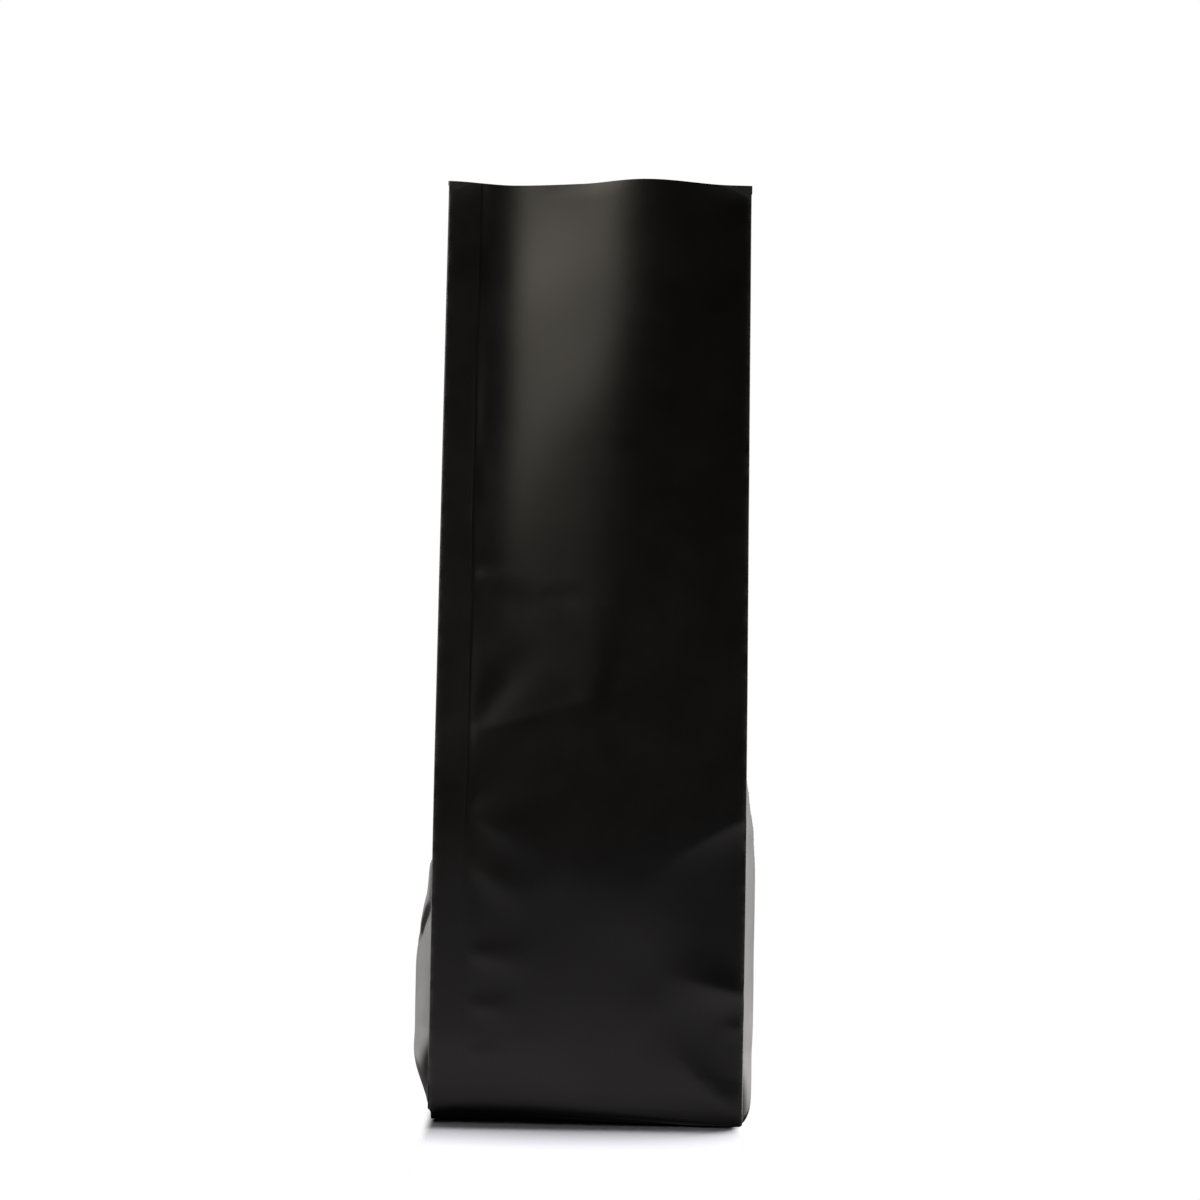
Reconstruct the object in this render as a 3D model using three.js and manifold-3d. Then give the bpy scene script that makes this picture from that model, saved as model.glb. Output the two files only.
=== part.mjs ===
// A plain side gusset coffee bag, standing on its opened bottom with its unsealed mouth pressed shut.
// Millimetres, +Z up. The panel with the lap seal faces -Y, and the origin is on the floor under the bag's
// middle.
import * as THREE from "three";
import Module from "manifold-3d";
import { mergeVertices } from "three/addons/utils/BufferGeometryUtils.js";

// Sizes of the bag lying flat
const PANEL_WIDTH = 95;
const GUSSET_WIDTH = 65;
const BAG_LENGTH = 321.5;
const LAP_SEAL_WIDTH = 10;
const BOTTOM_SEAL_WIDTH = 10;

// How deep the opened bag is, front crease to middle, and where its walls start to lean together
const FULL_HALF_DEPTH = 31.5;
const MOUTH_HALF_DEPTH = 1.6;
const SHOULDER = 95;
const SHOULDER_BLEND = 25;
const WALL_LENGTH = BAG_LENGTH - GUSSET_WIDTH / 2;
const LEAN = FULL_HALF_DEPTH - MOUTH_HALF_DEPTH;
const HEIGHT = SHOULDER + Math.sqrt((WALL_LENGTH - SHOULDER) ** 2 - LEAN ** 2);

// How far the bowed panels draw the creases in, at the floor and at the mouth
const CREASE_DRAW_LOW = 0.4;
const CREASE_DRAW_TOP = 1;
const CREASE_NOSE = 0.5;

// The bow of the filled-out lower panels
const LOW_BOW = 1.6;
const LOW_BOW_RISE = { from: -12, to: 40 };
const LOW_BOW_FALL = { from: 60, to: 150 };

// How far the front panel's lower left corner leans back, below a height and left of a share of the width
const CORNER_LEAN = { depth: 1.5, below: 28, leftOf: 0.55 };

// The wave across the front panel, which runs down from the mouth: two soft bends, at the foot of a dip on
// the left and along a ridge on the right. Places are shares of the panel's width.
const DIP = { place: 0.2, lift: -1.7, softness: 0.024 };
const RIDGE = { place: 0.68, lift: 4.8, softness: 0.052 };
const RIDGE_LOW_PLACE = 0.55;
const RIDGE_SLIDE_START = 150;
const RIDGE_SLIDE_POWER = 1.3;
const WAVE_RISE = { from: 95, to: 265 };

// The back panel bows out, and near the mouth it lies along the front panel
const BACK_BOW = 2.5;
const BACK_BOW_RISE = { from: 70, to: 170 };
const BACK_FOLLOWS = { from: 190, to: 280 };
const BACK_FOLLOWS_SHARE = 0.5;

// The cut edge of the mouth, which rises and drops with the wave
const EDGE_RISE = { lift: 1.25, start: 0.44, centre: 0.66, end: 0.95 };
const EDGE_DROP = { lift: -1, start: 0, centre: 0.22, end: 0.6 };
const EDGE_WAVE_REACH = 60;

// The gussets: bulged out at the foot, then folded in from a point on the middle line of each
const GUSSET_HALF = GUSSET_WIDTH / 2;
const BULGE_POWER = 2.2;
const LEFT = {
  sign: -1, bulge: 5.8, atFloor: 0, rise: { from: 1, to: 21.5 }, atTop: 0.2, fall: { from: 44, to: 80 },
  foldStart: 46, foldEnd: 79,
};
const RIGHT = {
  sign: 1, bulge: 4.3, atFloor: 0.78, rise: { from: 0, to: 30 }, atTop: 0.75, fall: { from: 66, to: 104 },
  foldStart: 66, foldEnd: 105,
};

// The front halves of the gussets turn more to the front near the foot, and on the left near the fold too,
// past slanted lines. Each line starts at a height on the front crease and comes down by its tilt for each
// millimetre that the gusset stands out. The power is how sharply the film turns at the crease, once past the
// blend.
const LEFT_UPPER_FACET = { start: 64, tilt: 2.6, power: 8.5, blend: 4 };
const LEFT_LOWER_FACET = { start: 30, tilt: 0.6, power: 9, blend: 22 };
const RIGHT_LOWER_FACET = { start: 23, tilt: 0.6, power: 8.5, blend: 19 };

// The foot, where the walls turn under: how high each turn starts and how far it draws the film in, at the
// creases and, further, at the middle of each face. At the front left corner the crease is tucked in with a
// step.
const FRONT_LEFT_TURN = { height: 4.2, aside: 0.9, inward: 9, tuck: 1 };
const FRONT_RIGHT_TURN = { height: 1, aside: 1.3, inward: 2.5, tuck: 0 };
const BACK_TURN = { height: 4, aside: 1.2, inward: 5, tuck: 0 };
const PANEL_TURN_EXTRA = { height: 2.7, inward: 5 };
const PANEL_TURN_SKEW = 0.6;
const LEFT_TURN_EXTRA = { height: 2.5, aside: 3.5 };
const RIGHT_TURN_EXTRA = { height: 9, aside: 4 };
const TURN_ROUNDNESS = 1.9;
const TUCK_STEP = { from: 0.78, to: 1 };

// The raised middle of the bottom, and the seal folded flat under it
const BOTTOM_RECESS = 1.4;
const BOTTOM_RIM = 9;
const BOTTOM_SEAL_CLEARANCE = 0.4;
const BOTTOM_SEAL_INSET = 6;

// The low step of the doubled film, and how steep its edge is
const SEAL_STEP = 0.4;
const SEAL_EDGE = 0.4;

// How finely the surfaces are divided
const SEAL_COLUMNS = 3;
const PANEL_COLUMNS = 22;
const GUSSET_COLUMNS = 16;
const NEAR_CREASE = 0.94;
const TURN_ROWS = 6;
const FOOT_ROWS = 2;
const FOOT_TOP = 14;
const FOLD_TOP = 120;
const LOWER_ROWS = 17;
const UPPER_ROWS = 12;

const { clamp, lerp, smoothstep } = THREE.MathUtils;

// A rounded hump of height 1 at centre, falling to 0 at the two ends
function hump(x, { start, centre, end }) {
  const reach = x < centre ? centre - start : end - centre;
  return 0.5 + 0.5 * Math.cos(Math.PI * clamp(Math.abs(x - centre) / reach, 0, 1));
}

function ramp(value, range) {
  return smoothstep(value, range.from, range.to);
}

// The creases stand upright to the shoulder, bend over a short length and then lean straight to the mouth
function halfDepth(z) {
  const above = clamp(z - SHOULDER + SHOULDER_BLEND, 0, 2 * SHOULDER_BLEND);
  const leaned = above ** 2 / (4 * SHOULDER_BLEND) + Math.max(z - SHOULDER - SHOULDER_BLEND, 0);
  return FULL_HALF_DEPTH - (LEAN * leaned) / (HEIGHT - SHOULDER);
}

function halfWidth(z) {
  return PANEL_WIDTH / 2 - lerp(CREASE_DRAW_LOW, CREASE_DRAW_TOP, z / HEIGHT);
}

function lowBow(s, z) {
  return LOW_BOW * ramp(z, LOW_BOW_RISE) * (1 - ramp(z, LOW_BOW_FALL)) * Math.sin(Math.PI * s);
}

// Zero before a place and growing evenly after it, with a soft bend between
function pastBend(s, place, softness) {
  return softness * Math.log1p(Math.exp((s - place) / softness));
}

function wave(s, z) {
  const climbed = clamp((z - RIDGE_SLIDE_START) / (HEIGHT - RIDGE_SLIDE_START), 0, 1);
  const ridge = lerp(RIDGE_LOW_PLACE, RIDGE.place, climbed ** RIDGE_SLIDE_POWER);
  const toDip = DIP.lift / DIP.place;
  const toRidge = (RIDGE.lift - DIP.lift) / (ridge - DIP.place);
  const toCrease = -RIDGE.lift / (1 - ridge);
  const atDip = (toRidge - toDip) * pastBend(s, DIP.place, DIP.softness);
  const atRidge = (toCrease - toRidge) * pastBend(s, ridge, RIDGE.softness);
  return ramp(z, WAVE_RISE) * (toDip * s + atDip + atRidge);
}

function cornerLean(s, z) {
  const down = 1 - smoothstep(z, 0, CORNER_LEAN.below);
  return CORNER_LEAN.depth * down * (1 - smoothstep(s, 0, CORNER_LEAN.leftOf));
}

// How far the front panel stands out of the plane of its two creases
function frontBow(s, z) {
  return lowBow(s, z) + wave(s, z) - cornerLean(s, z);
}

function backBow(s, z) {
  const own = lowBow(s, z) + BACK_BOW * ramp(z, BACK_BOW_RISE) * Math.sin(Math.PI * s);
  return lerp(own, -BACK_FOLLOWS_SHARE * wave(s, z), ramp(z, BACK_FOLLOWS));
}

function lapSeal(s) {
  const past = s * PANEL_WIDTH - LAP_SEAL_WIDTH + SEAL_EDGE / 2;
  return SEAL_STEP * (1 - clamp(past / SEAL_EDGE, 0, 1));
}

function edgeRise(s, z) {
  const lift = EDGE_RISE.lift * hump(s, EDGE_RISE) + EDGE_DROP.lift * hump(s, EDGE_DROP);
  return lift * smoothstep(z, HEIGHT - EDGE_WAVE_REACH, HEIGHT);
}

function frontPoint(s, z) {
  const x = lerp(-halfWidth(z), halfWidth(z), s);
  const y = -halfDepth(z) - frontBow(s, z) - lapSeal(s);
  return new THREE.Vector3(x, y, z + edgeRise(s, z));
}

function backPoint(s, z) {
  const x = lerp(-halfWidth(z), halfWidth(z), s);
  const y = halfDepth(z) + backBow(s, z);
  return new THREE.Vector3(x, y, z + edgeRise(s, z));
}

// How far in the middle line of a gusset lies where it is folded flat between two creases
function foldDepth(z) {
  return Math.sqrt(GUSSET_HALF ** 2 - halfDepth(z) ** 2);
}

// How sharply a gusset's front half turns at its crease, for a height and how far it stands out there
function bulgePower(side, plain, z) {
  const lowerFacet = side === LEFT ? LEFT_LOWER_FACET : RIGHT_LOWER_FACET;
  const below = lowerFacet.start - z - lowerFacet.tilt * plain;
  const power = lerp(BULGE_POWER, lowerFacet.power, smoothstep(below, 0, lowerFacet.blend));
  if (side !== LEFT) {
    return power;
  }
  const above = z + LEFT_UPPER_FACET.tilt * plain - LEFT_UPPER_FACET.start;
  const shortOf = 1 - clamp(above / LEFT_UPPER_FACET.blend, 0, 1);
  return lerp(power, LEFT_UPPER_FACET.power, 1 - shortOf ** 2);
}

// How far the unfolded part of a gusset stands out, u running from -1 at the front to 1 at the back
function bulged(side, u, z) {
  const across = Math.abs(u);
  const fullness = lerp(side.atFloor, 1, ramp(z, side.rise)) * lerp(1, side.atTop, ramp(z, side.fall));
  const bulge = side.bulge * fullness;
  const plain = bulge * (1 - across ** BULGE_POWER);
  return u < 0 ? bulge * (1 - across ** bulgePower(side, plain, z)) : plain;
}

// How far a gusset stands out of the plane of its creases. Below the fold it is bulged. The fold opens upward
// from a point on the middle line, between two slanted creases that climb to the front and the back.
function gussetReach(side, u, z) {
  const climbed = clamp((z - side.foldStart) / (side.foldEnd - side.foldStart), 0, 1);
  const across = Math.abs(u);
  if (across >= climbed) {
    return bulged(side, u, z);
  }
  const rising = lerp(bulged(side, 0, z), -foldDepth(side.foldEnd), climbed);
  const valley = z < side.foldEnd ? rising : -foldDepth(z);
  return lerp(valley, bulged(side, Math.sign(u) * climbed, z), across / climbed);
}

// A gusset's folds lie midway between the two panels and follow their wave
function gussetPoint(side, u, z) {
  const x = side.sign * (halfWidth(z) + gussetReach(side, u, z));
  const s = clamp(0.5 + x / (2 * halfWidth(z)), 0, 1);
  const middle = (backBow(s, z) - frontBow(s, z)) / 2;
  const y = middle + u * (halfDepth(z) - CREASE_NOSE);
  return new THREE.Vector3(x, y, z + edgeRise(s, z));
}

// The upright lines of the surface, in order round the bag as seen from above, anticlockwise from the front
// left crease. Each has its place at a height, and how it turns under at the floor.
function bagColumns() {
  const front = panelShares().map((s) => panelColumn(s, frontPoint, FRONT_LEFT_TURN, FRONT_RIGHT_TURN, 1));
  const right = gussetShares().map((u) => gussetColumn(RIGHT, u, FRONT_RIGHT_TURN, BACK_TURN));
  const back = panelShares().map((s) => panelColumn(s, backPoint, BACK_TURN, BACK_TURN, -1));
  const left = gussetShares().map((u) => gussetColumn(LEFT, u, FRONT_LEFT_TURN, BACK_TURN));
  return [...front, ...right, ...back.reverse(), ...left.reverse()];
}

function panelColumn(s, pointAt, left, right, towardMiddle) {
  const swell = Math.sin(Math.PI * s ** PANEL_TURN_SKEW);
  return {
    at: (z) => pointAt(s, z),
    height: lerp(left.height, right.height, s) + PANEL_TURN_EXTRA.height * swell,
    aside: lerp(left.aside, -right.aside, s),
    inward: towardMiddle * (lerp(left.inward, right.inward, s) + PANEL_TURN_EXTRA.inward * swell),
    tuck: lerp(left.tuck, right.tuck, s),
  };
}

function gussetColumn(side, u, front, back) {
  const swell = Math.sqrt(Math.max(Math.cos((Math.PI / 2) * u), 0));
  const share = (u + 1) / 2;
  const extra = side === LEFT ? LEFT_TURN_EXTRA : RIGHT_TURN_EXTRA;
  return {
    at: (z) => gussetPoint(side, u, z),
    height: lerp(front.height, back.height, share) + extra.height * swell,
    aside: -side.sign * (lerp(front.aside, back.aside, share) + extra.aside * swell),
    inward: lerp(front.inward, -back.inward, share),
    tuck: lerp(front.tuck, back.tuck, share) * (1 - swell),
  };
}

// Shares of the panel's width at which its columns stand, with a pair at the step beside the lap seal
function panelShares() {
  const before = (LAP_SEAL_WIDTH - SEAL_EDGE / 2) / PANEL_WIDTH;
  const after = (LAP_SEAL_WIDTH + SEAL_EDGE / 2) / PANEL_WIDTH;
  const shares = [];
  for (let i = 0; i <= SEAL_COLUMNS; i++) {
    shares.push((before * i) / SEAL_COLUMNS);
  }
  for (let i = 0; i <= PANEL_COLUMNS; i++) {
    shares.push(lerp(after, 1, i / PANEL_COLUMNS));
  }
  return shares;
}

// Places across a gusset, from -1 at the front to 1 at the back, with one more beside each crease
function gussetShares() {
  const shares = [-NEAR_CREASE, NEAR_CREASE];
  for (let i = 0; i <= GUSSET_COLUMNS; i++) {
    shares.push(-1 + (2 * i) / GUSSET_COLUMNS);
  }
  return shares.sort((a, b) => a - b);
}

// A point of the turn at the floor, from angle 0 on the floor to a right angle where the wall starts
function turnedPoint(column, angle) {
  const power = 2 / TURN_ROUNDNESS;
  const climbed = 1 - Math.cos(angle) ** power;
  const rounded = 1 - Math.sin(angle) ** power;
  const stepped = 1 - ramp(climbed, TUCK_STEP);
  const point = column.at(column.height * climbed);
  point.x += column.aside * lerp(rounded, stepped, column.tuck);
  point.y += column.inward * rounded;
  return point;
}

// One row of points for each step of the turn at the floor, then one for each height above it
function wallRows(columns) {
  const rows = [];
  for (let i = 0; i < TURN_ROWS; i++) {
    const angle = (Math.PI / 2) * (i / TURN_ROWS);
    rows.push(columns.map((column) => turnedPoint(column, angle)));
  }
  for (let i = 0; i < FOOT_ROWS; i++) {
    rows.push(columns.map((column) => column.at(lerp(column.height, FOOT_TOP, i / FOOT_ROWS))));
  }
  for (let i = 0; i <= LOWER_ROWS; i++) {
    rows.push(columns.map((column) => column.at(lerp(FOOT_TOP, FOLD_TOP, i / LOWER_ROWS))));
  }
  for (let i = 1; i <= UPPER_ROWS; i++) {
    rows.push(columns.map((column) => column.at(lerp(FOLD_TOP, HEIGHT, i / UPPER_ROWS))));
  }
  return rows;
}

// Two triangles for a cell with corners a, b, c and d, split along the diagonal that stands further out, so
// that a slanted crease runs along edges
function splitCell(points, a, b, c, d) {
  const normal = points[b].clone().sub(points[a]).cross(points[c].clone().sub(points[a]));
  const hollowAlongAC = normal.dot(points[d].clone().sub(points[a])) > 0;
  return hollowAlongAC ? [[a, b, d], [b, c, d]] : [[a, b, c], [a, c, d]];
}

function wallFaces(rows) {
  const points = rows.flat();
  const count = rows[0].length;
  const faces = [];
  for (let r = 0; r + 1 < rows.length; r++) {
    for (let c = 0; c < count; c++) {
      const next = (c + 1) % count;
      const low = r * count;
      const high = low + count;
      faces.push(...splitCell(points, low + c, low + next, high + next, high + c));
    }
  }
  return faces;
}

// The mouth is shut by one face across its top edge
function mouthFaces(topRow, first) {
  const outline = topRow.map((point) => new THREE.Vector2(point.x, point.y));
  return THREE.ShapeUtils.triangulateShape(outline, []).map((face) => face.map((i) => first + i));
}

// The bottom is a grid hung between the four lowest edges of the wall: a flat rim to stand on, and inside it
// a raised middle. Returns the grid's new points and its faces.
function bottomGrid(floorRow, first) {
  const across = panelShares().length;
  const deep = gussetShares().length + 2;
  const count = floorRow.length;
  const frontAt = (i) => i;
  const rightAt = (j) => across - 1 + j;
  const backAt = (i) => across + deep - 2 + (across - 1 - i);
  const leftAt = (j) => (count - j) % count;
  const width = floorRow[frontAt(across - 1)].x - floorRow[frontAt(0)].x;
  const depth = floorRow[backAt(0)].y - floorRow[frontAt(0)].y;

  function place(i, j) {
    const fromLeft = floorRow[frontAt(i)].x - floorRow[frontAt(0)].x;
    const fromFront = floorRow[leftAt(j)].y - floorRow[frontAt(0)].y;
    const x = lerp(floorRow[leftAt(j)].x, floorRow[rightAt(j)].x, fromLeft / width);
    const y = lerp(floorRow[frontAt(i)].y, floorRow[backAt(i)].y, fromFront / depth);
    const toEdge = Math.min(fromLeft, width - fromLeft, fromFront, depth - fromFront);
    return new THREE.Vector3(x, y, toEdge > BOTTOM_RIM ? BOTTOM_RECESS : 0);
  }

  function indexAt(i, j) {
    if (j === 0) return frontAt(i);
    if (j === deep - 1) return backAt(i);
    if (i === 0) return leftAt(j);
    if (i === across - 1) return rightAt(j);
    return first + (i - 1) * (deep - 2) + (j - 1);
  }

  const points = [];
  for (let i = 1; i < across - 1; i++) {
    for (let j = 1; j < deep - 1; j++) {
      points.push(place(i, j));
    }
  }
  const faces = [];
  for (let i = 0; i + 1 < across; i++) {
    for (let j = 0; j + 1 < deep; j++) {
      const corner = indexAt(i, j);
      const far = indexAt(i + 1, j + 1);
      faces.push([corner, indexAt(i, j + 1), far], [corner, far, indexAt(i + 1, j)]);
    }
  }
  return { points, faces };
}

function bagGeometry() {
  const columns = bagColumns();
  const rows = wallRows(columns);
  const wallCount = rows.length * columns.length;
  const bottom = bottomGrid(rows[0], wallCount);
  const points = [...rows.flat(), ...bottom.points];
  const mouth = mouthFaces(rows.at(-1), wallCount - columns.length);
  const faces = [...wallFaces(rows), ...mouth, ...bottom.faces];
  const geometry = new THREE.BufferGeometry().setFromPoints(points);
  geometry.setIndex(faces.flat());
  return geometry;
}

// The bottom seal, folded flat to the front under the raised middle of the bottom
function bottomSealGeometry() {
  const thickness = BOTTOM_RECESS - BOTTOM_SEAL_CLEARANCE + SEAL_STEP;
  const length = PANEL_WIDTH - 2 * BOTTOM_SEAL_INSET;
  const geometry = new THREE.BoxGeometry(length, BOTTOM_SEAL_WIDTH, thickness);
  geometry.translate(0, -BOTTOM_SEAL_WIDTH / 2, BOTTOM_SEAL_CLEARANCE + thickness / 2);
  geometry.deleteAttribute("normal");
  geometry.deleteAttribute("uv");
  return mergeVertices(geometry);
}

const wasm = await Module();
wasm.setup();

function toSolid(geometry) {
  const vertProperties = new Float32Array(geometry.getAttribute("position").array);
  const triVerts = new Uint32Array(geometry.getIndex().array);
  return new wasm.Manifold(new wasm.Mesh({ numProp: 3, vertProperties, triVerts }));
}

function toGeometry(solid) {
  const mesh = solid.getMesh();
  const geometry = new THREE.BufferGeometry();
  geometry.setAttribute("position", new THREE.BufferAttribute(mesh.vertProperties, mesh.numProp));
  geometry.setIndex(new THREE.BufferAttribute(mesh.triVerts, 1));
  geometry.computeVertexNormals();
  return geometry;
}

const film = new THREE.MeshStandardMaterial({ color: 0x1b1a1b, roughness: 0.42, metalness: 0 });
const bagSolid = toSolid(bagGeometry()).add(toSolid(bottomSealGeometry()));
const bag = new THREE.Mesh(toGeometry(bagSolid), film);
bag.name = "bag";

// The two gussets bulge unequally, so the bag is moved until its box is centred over the origin
const boxCentre = new THREE.Box3().setFromObject(bag).getCenter(new THREE.Vector3());
bag.position.set(-boxCentre.x, -boxCentre.y, 0);

const coffeeBag = new THREE.Group();
coffeeBag.add(bag);

export default coffeeBag;
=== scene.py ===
# A plain black side gusset coffee bag of satin film, standing on a white studio floor.
import math
from collections import namedtuple

import bpy
import mathutils
import numpy as np
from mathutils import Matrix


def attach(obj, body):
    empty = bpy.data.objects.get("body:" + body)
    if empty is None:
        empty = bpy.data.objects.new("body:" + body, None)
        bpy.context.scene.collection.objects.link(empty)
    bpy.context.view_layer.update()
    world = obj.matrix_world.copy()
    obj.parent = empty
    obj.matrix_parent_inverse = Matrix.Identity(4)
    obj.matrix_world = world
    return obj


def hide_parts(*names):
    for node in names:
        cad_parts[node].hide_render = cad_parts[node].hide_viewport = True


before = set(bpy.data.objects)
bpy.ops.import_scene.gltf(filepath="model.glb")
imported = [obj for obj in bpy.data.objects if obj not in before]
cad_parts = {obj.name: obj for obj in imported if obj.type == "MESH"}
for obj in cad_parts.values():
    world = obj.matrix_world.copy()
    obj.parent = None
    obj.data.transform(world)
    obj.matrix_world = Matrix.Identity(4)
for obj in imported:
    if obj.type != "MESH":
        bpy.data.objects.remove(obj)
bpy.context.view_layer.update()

MM = 0.001

# Sizes of the bag lying flat, in millimetres
PANEL_WIDTH = 95.0
GUSSET_WIDTH = 65.0
BAG_LENGTH = 321.5
LAP_SEAL_WIDTH = 10.0
BOTTOM_SEAL_WIDTH = 10.0
FILM_THICKNESS = 0.2

# The standing bag: its half depth at the foot and the mouth, where the walls start to lean together, how far
# the creases draw in at the floor and at the mouth, and how wide the rounded nose of each crease is
FULL_HALF_DEPTH = 31.5
MOUTH_HALF_DEPTH = 1.6
SHOULDER = 95.0
SHOULDER_BLEND = 25.0
WALL_LENGTH = BAG_LENGTH - GUSSET_WIDTH / 2
LEAN = FULL_HALF_DEPTH - MOUTH_HALF_DEPTH
HEIGHT = SHOULDER + math.sqrt((WALL_LENGTH - SHOULDER) ** 2 - LEAN ** 2)
CREASE_DRAW_LOW = 0.4
CREASE_DRAW_TOP = 1.0
CREASE_NOSE = 0.5

# The bow of the filled-out lower panels
LOW_BOW = 1.6
LOW_BOW_RISE = (-12.0, 40.0)
LOW_BOW_FALL = (60.0, 150.0)

# How far the front panel's lower left corner leans back, below a height and left of a share of the width
CORNER_LEAN = 1.5
CORNER_LEAN_HEIGHT = 28.0
CORNER_LEAN_SHARE = 0.55

# The wave across the front panel, which runs down from the mouth: two soft bends, at the foot of a dip on
# the left and along a ridge on the right. Each has its place as a share of the panel's width, and how far
# it stands out. On its way down the ridge slides to the left, to its low place.
Bend = namedtuple("Bend", "place lift softness")
DIP = Bend(0.2, -1.7, 0.024)
RIDGE = Bend(0.68, 4.8, 0.052)
RIDGE_LOW_PLACE = 0.55
RIDGE_SLIDE_START = 150.0
RIDGE_SLIDE_POWER = 1.3
WAVE_RISE = (95.0, 265.0)

# The back panel bows out, and near the mouth it lies along the front panel
BACK_BOW = 2.5
BACK_BOW_RISE = (70.0, 170.0)
BACK_FOLLOWS = (190.0, 280.0)
BACK_FOLLOWS_SHARE = 0.5

# The cut edge of the mouth, which rises and drops with the wave; places are shares of the panel's width
EDGE_RISE = 1.25
EDGE_RISE_PLACE = (0.44, 0.66, 0.95)
EDGE_DROP = 1.0
EDGE_DROP_PLACE = (0.0, 0.22, 0.6)
EDGE_WAVE_REACH = 60.0

# The gussets: bulged out at the foot, then folded in from a point on the middle line of each. The least
# bulge and climb keep divisions safe.
Side = namedtuple("Side", "sign bulge at_floor rise at_top fall fold_start fold_end")
LEFT = Side(-1.0, 5.9, 0.0, (1.0, 21.5), 0.2, (44.0, 80.0), 46.0, 80.0)
RIGHT = Side(1.0, 4.3, 0.75, (0.0, 30.0), 0.95, (66.0, 104.0), 66.0, 106.0)
GUSSET_HALF = GUSSET_WIDTH / 2
BULGE_POWER = 2.2
LEAST_BULGE = 1.0
LEAST_CLIMB = 1e-6

# The front halves of the gussets turn more to the front near the foot, and on the left near the fold too,
# past slanted lines. Each line starts at a height on the front crease and comes down by its tilt for each
# millimetre that the gusset stands out. The power is how sharply the film turns at the crease, once past
# the blend. Near the fold it grows as the gusset gets flatter, so that the film leaves the crease as
# steeply all the way up.
Facet = namedtuple("Facet", "start tilt power blend")
LEFT_UPPER_FACET = Facet(65.0, 2.6, 7.6, 3.5)
LEFT_UPPER_BULGE = 3.5
LEFT_UPPER_POWER_LIMIT = 20.0
LEFT_LOWER_FACET = Facet(30.0, 0.6, 9.0, 22.0)
RIGHT_LOWER_FACET = Facet(23.0, 0.6, 8.5, 19.0)
CENTRE_SHIFT = (LEFT.bulge - RIGHT.bulge) / 2

# The foot, where the walls turn under: how high each turn starts and how far it draws the film in, at the
# creases and, further, at the middle of each face. At the front left corner the crease is tucked in with a
# step.
Turn = namedtuple("Turn", "height aside inward tuck", defaults=(0.0,))
FRONT_LEFT_TURN = Turn(4.2, 0.9, 9.0, 1.0)
FRONT_RIGHT_TURN = Turn(1.0, 1.3, 2.5)
BACK_TURN = Turn(4.0, 1.2, 5.0)
PANEL_TURN_EXTRA = Turn(2.7, 0.0, 5.0)
PANEL_TURN_SKEW = 0.6
LEFT_TURN_EXTRA = Turn(2.5, 3.5, 0.0)
RIGHT_TURN_EXTRA = Turn(9.0, 4.0, 0.0)
TURN_ROUNDNESS = 1.9
TUCK_STEP = (0.78, 1.0)
FOOT_TOP = 14.0

# The raised middle of the bottom, and the seal folded flat under it
BOTTOM_RECESS = 1.4
BOTTOM_SEAL_LENGTH = 83.0
BOTTOM_SEAL_THICKNESS = 0.5
BOTTOM_SEAL_BURIED = 0.1
BOTTOM_SEAL_STEPS = (84, 10)

# The slight backward curls of the front panel's cut edge, beside the dip and at the right and left creases:
# how far the edge bends, how far down that reaches, and its start, middle and end as shares of the panel's
# width
Curl = namedtuple("Curl", "depth reach place")
MOUTH_CURLS = (
    Curl(0.35, 5.0, (0.28, 0.44, 0.62)),
    Curl(1.1, 8.0, (0.62, 1.0, 1.38)),
    Curl(0.9, 8.0, (-0.3, 0.0, 0.14)),
)

# The low step of the doubled film along the lap seal, the width of its slope, and the thin bead of melt on
# it. Up the seal, the step varies by its unevenness, the edge wanders and the bead comes and goes about its
# mean, each as slow waves with a length, a shift and a share.
Sway = namedtuple("Sway", "length shift share", defaults=(0.0, 1.0))
SEAL_STEP = 0.045
SEAL_UNEVENNESS = 0.5
SEAL_STEP_SWAYS = (Sway(13.0), Sway(31.0, 0.5))
SEAL_SLOPE = 0.9
SEAL_WANDER = 0.2
SEAL_EDGE_SWAYS = (Sway(21.0, 1.0), Sway(7.7, 0.0, 0.6))
SEAL_BEAD = 0.03
SEAL_BEAD_WIDTH = 0.5
SEAL_BEAD_MEAN = 0.45
SEAL_BEAD_SWING = 0.8
SEAL_BEAD_SWAYS = (Sway(9.0), Sway(23.0, 1.0))

# How finely the film is divided. Columns stand closer at the lap seal's edge, within a reach that even ones
# keep out of, at the creases, and over the front share of each gusset that the facets take up.
PANEL_STEP = 1.0
SEAL_COLUMNS = 13
SEAL_COLUMNS_REACH = 0.9
SEAL_COLUMNS_CLEAR = 1.2
CREASE_COLUMN = 0.25
GUSSET_COLUMNS = 44
GUSSET_CREASE_SHARE = 0.985
NOSE_MIDDLE = 1.5
FACET_REACH = 0.5
TURN_ROWS = 10
FOOT_ROWS = 4
ROW_STEP = 1.2

# One row close under the cut edge keeps the smooth shading level there
EDGE_ROW = 0.08

# How deep the open pocket at the mouth is, and over what width the creases are worn and carry a painted
# highlight
POCKET_DEPTH = 22.0
CREASE_WEAR_AND_HIGHLIGHT_WIDTH = 0.5

# The finishes of the film's faces, in the order of its materials
OUTSIDE, INSIDE, CUT_EDGE = range(3)


def ramp(value, start, end):
    """A smooth step from 0 at start to 1 at end."""
    share = np.clip((value - start) / (end - start), 0.0, 1.0)
    return share * share * (3.0 - 2.0 * share)


def mix(low, high, share):
    return low + (high - low) * share


def hump(value, start, centre, end):
    """A rounded hump of height 1 at centre that falls to 0 at both ends."""
    reach = np.where(value < centre, centre - start, end - centre)
    return 0.5 + 0.5 * np.cos(np.pi * np.clip(np.abs(value - centre) / reach, 0.0, 1.0))


# The form of the bag, which is the solid's but for about a millimetre at the gussets' facets


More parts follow.
